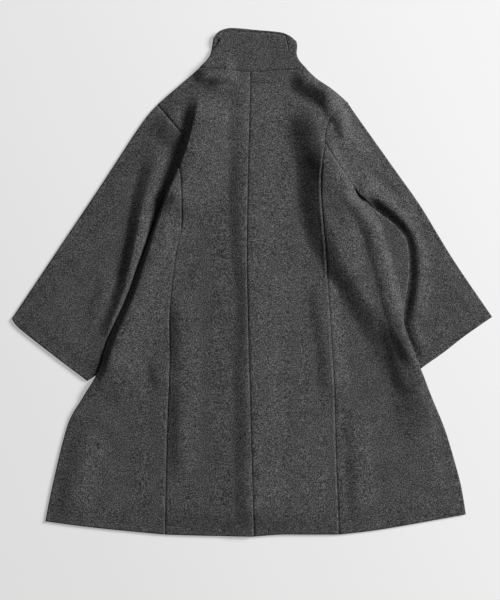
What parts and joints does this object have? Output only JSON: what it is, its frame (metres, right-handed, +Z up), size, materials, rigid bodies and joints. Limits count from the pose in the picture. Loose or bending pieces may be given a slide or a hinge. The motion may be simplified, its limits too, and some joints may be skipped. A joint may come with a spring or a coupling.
{
  "type": "cape coat",
  "caption": "A-line wool cape coat in charcoal melange with a standing collar and wide sleeves, laid flat with its back up.",
  "frame": {"origin": "middle of the outline of the laid-out coat, on the surface it lies on", "axes": "+Y towards the collar, +X towards the wearer's right sleeve, +Z up out of the surface, with the back of the coat on top"},
  "size_m": [0.984, 1.04, 0.0381],
  "materials": {
    "wool_cloth": "matte, brushed melange wool"
  },
  "bodies": {
    "root": {"back_left": "wool_cloth", "side_back_left": "wool_cloth", "front_left": "wool_cloth", "sleeve_left": "wool_cloth", "back_right": "wool_cloth", "side_back_right": "wool_cloth", "front_right": "wool_cloth", "sleeve_right": "wool_cloth", "collar": "wool_cloth"}
  },
  "joints": []
}
